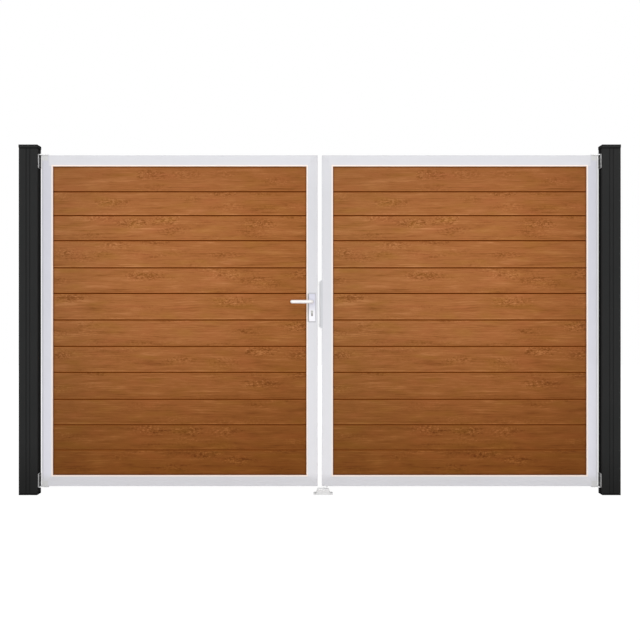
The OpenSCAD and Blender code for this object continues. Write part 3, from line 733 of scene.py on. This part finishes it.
def add_screw(mesh, seat, axis, size):
    """A round screw head with a hexagon socket, on its seat and with its top along the axis."""
    radius, rise, sunk = (length * MILLIMETRE for length in size)
    old = set(mesh.verts)
    bmesh.ops.create_cone(mesh, cap_ends=True, segments=HEAD_SIDES, radius1=radius,
                          radius2=HEAD_TOP * radius, depth=rise)
    head = [v for v in mesh.verts if v not in old]
    bmesh.ops.translate(mesh, verts=head, vec=(0, 0, rise / 2))
    faces = {f for v in head for f in v.link_faces}
    top = max(faces, key=lambda f: f.calc_center_median().z)
    bottom = min(faces, key=lambda f: f.calc_center_median().z)

    socket_r = SOCKET * radius
    bmesh.ops.inset_individual(mesh, faces=[top], thickness=HEAD_TOP * radius - socket_r)
    for v in top.verts:
        angle = math.atan2(v.co.y, v.co.x) % (TURN / 6) - TURN / 12
        reach = socket_r * math.cos(TURN / 12) / math.cos(angle)
        v.co.xy = v.co.xy.normalized() * reach
    depth = min(0.35 * radius + 0.3 * rise, 0.85 * (rise + sunk))
    push_face(mesh, top, -depth)
    if sunk:
        foot = push_face(mesh, bottom, -sunk)
        bmesh.ops.scale(mesh, verts=foot, vec=(TAPER, TAPER, 1))

    turn = Vector((0, 0, 1)).rotation_difference(Vector(axis)).to_matrix().to_4x4()
    new = [v for v in mesh.verts if v not in old]
    bmesh.ops.transform(mesh, matrix=Matrix.Translation(seat) @ turn, verts=new)


def finish_piece(name, mesh, body, material):
    """Makes the mesh a piece of the gate that rides on a body."""
    bmesh.ops.recalc_face_normals(mesh, faces=mesh.faces)
    data = bpy.data.meshes.new(name)
    mesh.to_mesh(data)
    mesh.free()
    data.materials.append(material)
    piece = bpy.data.objects.new(name, data)
    bpy.context.scene.collection.objects.link(piece)
    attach(piece, body)


HINGE_SCREW_SPREAD = 0.28            # from the plate's middle, as a share of its width
HINGE_SCREW_DROPS = (0.022, 0.062)   # from the arm's outer face
HINGE_SCREW_SEAT = 0.4 * MILLIMETRE  # below the plate's face
PIN_HEAD_T = 0.002


def hinge_screws(material):
    """Countersunk screws in each bracket's plate, flush with its face."""
    for side, inward in (("left", 1), ("right", -1)):
        for level, down in (("top", 1), ("bottom", -1)):
            low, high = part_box("%s_%s_hinge" % (side, level))
            arm_z = high[2] - PIN_HEAD_T if down > 0 else low[2] + PIN_HEAD_T
            post_face = low[0] if inward > 0 else high[0]
            seat_x = post_face + inward * (HINGE_PLATE_T - HINGE_SCREW_SEAT)
            screw_y = HINGE_SCREW_SPREAD * (high[1] - low[1])
            mesh = bmesh.new()
            for drop in HINGE_SCREW_DROPS:
                for y in (-screw_y, screw_y):
                    seat = (seat_x, y, arm_z - down * drop)
                    add_screw(mesh, seat, (inward, 0, 0), HINGE_SCREW)
            finish_piece("%s_%s_hinge_screws" % (side, level), mesh, "root",
                         material)


STOP_HOLE_IN = (0.008, 0.015)        # from the ends and from the sides of the stop
STOP_FOOT_T = 0.005


def ground_stop_bolts(material):
    """Domed anchor bolts through the stop's feet."""
    low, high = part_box("ground_stop")
    mid_x = (low[0] + high[0]) / 2
    hole_x = (high[0] - low[0]) / 2 - STOP_HOLE_IN[0]
    hole_y = (high[1] - low[1]) / 2 - STOP_HOLE_IN[1]
    mesh = bmesh.new()
    for sx in (-1, 1):
        for sy in (-1, 1):
            seat = (mid_x + sx * hole_x, sy * hole_y, low[2] + STOP_FOOT_T)
            add_screw(mesh, seat, (0, 0, 1), STOP_BOLT)
    finish_piece("ground_stop_bolts", mesh, "root", material)


FOREND_SCREW_IN = 0.009
FOREND_SCREW_SEAT = 0.5 * MILLIMETRE


def forend_screws(material):
    """Countersunk screws at the ends of the lock's forend."""
    low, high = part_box("lock_forend")
    mesh = bmesh.new()
    for z in (low[2] + FOREND_SCREW_IN, high[2] - FOREND_SCREW_IN):
        add_screw(mesh, (high[0] - FOREND_SCREW_SEAT, 0, z), (1, 0, 0), FOREND_SCREW)
    finish_piece("forend_screws", mesh, "left_leaf", material)


KEEP_SCREW_IN = 0.018


def keep_screws(material):
    """Two screws in the keep's face towards the other leaf."""
    low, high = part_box("keep_body")
    mid_y = (low[1] + high[1]) / 2
    mesh = bmesh.new()
    for z in (low[2] + KEEP_SCREW_IN, high[2] - KEEP_SCREW_IN):
        add_screw(mesh, (low[0], mid_y, z), (-1, 0, 0), KEEP_SCREW)
    finish_piece("keep_screws", mesh, "right_leaf", material)


DROP_BOLT_PLATE_T = 0.003
DROP_BOLT_SCREW_IN = 0.046
DROP_BOLT_SCREW_SPREAD = 0.0095


def drop_bolt_screws(material):
    """Four pan-head screws that hold the drop bolt's plate on the stile."""
    low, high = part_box("drop_bolt_guides")
    mid_x = (low[0] + high[0]) / 2
    face_y = low[1] + DROP_BOLT_PLATE_T
    mesh = bmesh.new()
    for z in (low[2] + DROP_BOLT_SCREW_IN, high[2] - DROP_BOLT_SCREW_IN):
        for sx in (-1, 1):
            seat = (mid_x + sx * DROP_BOLT_SCREW_SPREAD, face_y, z)
            add_screw(mesh, seat, (0, 1, 0), DROP_BOLT_SCREW)
    finish_piece("drop_bolt_screws", mesh, "right_leaf", material)


HANDLE_PLATE_T = 0.008
PLATE_SCREWS_IN = (0.012, 0.016)     # from the plate's bottom and top edges


def rear_plate_screws(material):
    """The two screws that draw both handle plates together, seen from the back."""
    low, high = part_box("rear_handle_plate")
    mid_x = (low[0] + high[0]) / 2
    face_y = low[1] + HANDLE_PLATE_T
    mesh = bmesh.new()
    for z in (low[2] + PLATE_SCREWS_IN[0], high[2] - PLATE_SCREWS_IN[1]):
        add_screw(mesh, (mid_x, face_y, z), (0, 1, 0), PLATE_SCREW)
    finish_piece("rear_plate_screws", mesh, "left_leaf", material)


SCREW_STEEL = grey(150)
BOLT_STEEL = grey(222)


def add_screws():
    """Every screw and bolt that shows, in bright steel."""
    steel = worked_metal("screw_steel", SCREW_STEEL, 0.4, 0.8)
    bolt_steel = worked_metal("bolt_steel", BOLT_STEEL, 0.45, 0.2)
    hinge_screws(steel)
    ground_stop_bolts(bolt_steel)
    forend_screws(steel)
    keep_screws(steel)
    drop_bolt_screws(steel)
    rear_plate_screws(steel)


# ---- studio -----------------------------------------------------------------

FLOOR_SIDE = 40.0
FLOOR_TONE = grey(244)
FLOOR_WHITE = 1.08
FLOOR_SHARE = 0.88       # of plain white near the gate, where the shadows keep the rest
FLOOR_FADE = (2.0, 4.5)  # distances from the gate's middle between which it goes all white
WORLD_LIGHT = 0.22
WORLD_SEEN = 1.0

# Where each lamp hangs from the gate's middle, the height it aims at, its size and its watts
LAMPS = {
    "key_lamp": ((0, -10, 1.7), 0.9, (6, 3), 412),
    "upper_lamp": ((0, -5.5, 6.0), 0.5, (9, 4), 285),
    "back_lamp": ((0, 8, 3.0), 0.9, (6, 3), 320),
    "left_lamp": ((-8, 0.5, 2.2), 0.9, (3, 3), 170),
    "right_lamp": ((8, 0.5, 2.2), 0.9, (3, 3), 170),
}


def make_floor():
    """White floor that keeps the shadows near the gate and fades into the white background."""
    mesh = bmesh.new()
    bmesh.ops.create_grid(mesh, x_segments=1, y_segments=1, size=FLOOR_SIDE / 2)
    bmesh.ops.translate(mesh, verts=mesh.verts, vec=(GATE_MID_X, 0, 0))
    data = bpy.data.meshes.new("studio_floor")
    mesh.to_mesh(data)
    mesh.free()
    floor = bpy.data.objects.new("studio_floor", data)
    bpy.context.scene.collection.objects.link(floor)
    paint = Finish("pale_floor")
    paint.set(Base_Color=FLOOR_TONE, Roughness=0.9, Specular_IOR_Level=0.0)
    x, y, _ = paint.axes()
    away = ((x - GATE_MID_X) * (x - GATE_MID_X) + y * y) ** 0.5
    white = paint.node("Emission", None, {"Strength": FLOOR_WHITE})
    share = paint.seen() * (FLOOR_SHARE + (1 - FLOOR_SHARE) * away.ramp(*FLOOR_FADE))
    surface = Wire(paint, paint.shader.outputs[0])
    paint.output(paint.node("MixShader", None, {0: share, 1: surface, 2: white}))
    data.materials.append(paint.owner)


def make_world():
    """White to look at and in reflections, with a softer light of its own."""
    world = bpy.data.worlds.new("studio_world")
    bpy.context.scene.world = world
    paint = Paint(world)
    light, seen = (paint.node("Background", None, {"Color": (1, 1, 1, 1), "Strength": strength})
                   for strength in (WORLD_LIGHT, WORLD_SEEN))
    paint.output(paint.node("MixShader", None, {0: paint.seen(), 1: light, 2: seen}))


def add_lamp(name, hangs, aim_z, size, power):
    """A soft lamp that no surface mirrors."""
    data = bpy.data.lights.new(name, "AREA")
    data.shape = "RECTANGLE"
    data.size, data.size_y = size
    data.energy = power
    lamp = bpy.data.objects.new(name, data)
    lamp.location = Vector(hangs) + Vector((GATE_MID_X, 0, 0))
    aim = Vector((GATE_MID_X, 0, aim_z))
    lamp.rotation_euler = (aim - lamp.location).to_track_quat("-Z", "Y").to_euler()
    lamp.visible_glossy = False
    bpy.context.scene.collection.objects.link(lamp)


def light_studio():
    """The world's own light, and the lamps."""
    make_world()
    for name, settings in LAMPS.items():
        add_lamp(name, *settings)


# ---- build ------------------------------------------------------------------

paint_nodes()
add_screws()
make_floor()
light_studio()
